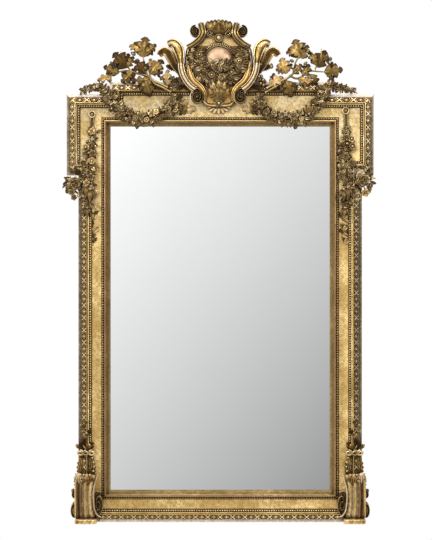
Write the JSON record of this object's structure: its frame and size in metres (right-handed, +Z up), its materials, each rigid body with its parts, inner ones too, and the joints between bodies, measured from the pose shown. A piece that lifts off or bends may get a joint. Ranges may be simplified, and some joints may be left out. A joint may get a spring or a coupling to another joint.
{
  "type": "ornate gilt wall mirror",
  "caption": "Tall gilt wall mirror: an eared frame with a raised centre, carved cartouche crest, oak branches, flower swags, ear drops and scroll consoles.",
  "frame": {"origin": "on the flat back of the frame's top rail, on the centre line, where the mirror is held against the wall", "axes": "+Z up, +X to the right as seen from the front, the wall is the plane Y = 0 and the mirror faces -Y"},
  "size_m": [1.1055, 0.086, 1.8],
  "materials": {
    "pale_gilt": "worn water gilding over gesso on wood, cream where it is rubbed",
    "warm_gilt": "worn gilding on carved wood and composition",
    "antique_gilt": "dark toned gilding on composition ornament",
    "silvering": "clear silvered glass",
    "pine": "bare aged pine boards"
  },
  "bodies": {
    "root": {"frame": "pale_gilt", "mirror_glass": "silvering", "backboard": "pine", "crest_cartouche": "warm_gilt", "crest_garland": "antique_gilt", "oak_branch_left": "antique_gilt", "oak_branch_right": "antique_gilt", "flower_swag_left": "antique_gilt", "flower_swag_right": "antique_gilt", "flower_drop_left": "antique_gilt", "flower_drop_right": "antique_gilt", "scroll_console_left": "warm_gilt", "scroll_console_right": "warm_gilt"}
  },
  "joints": []
}
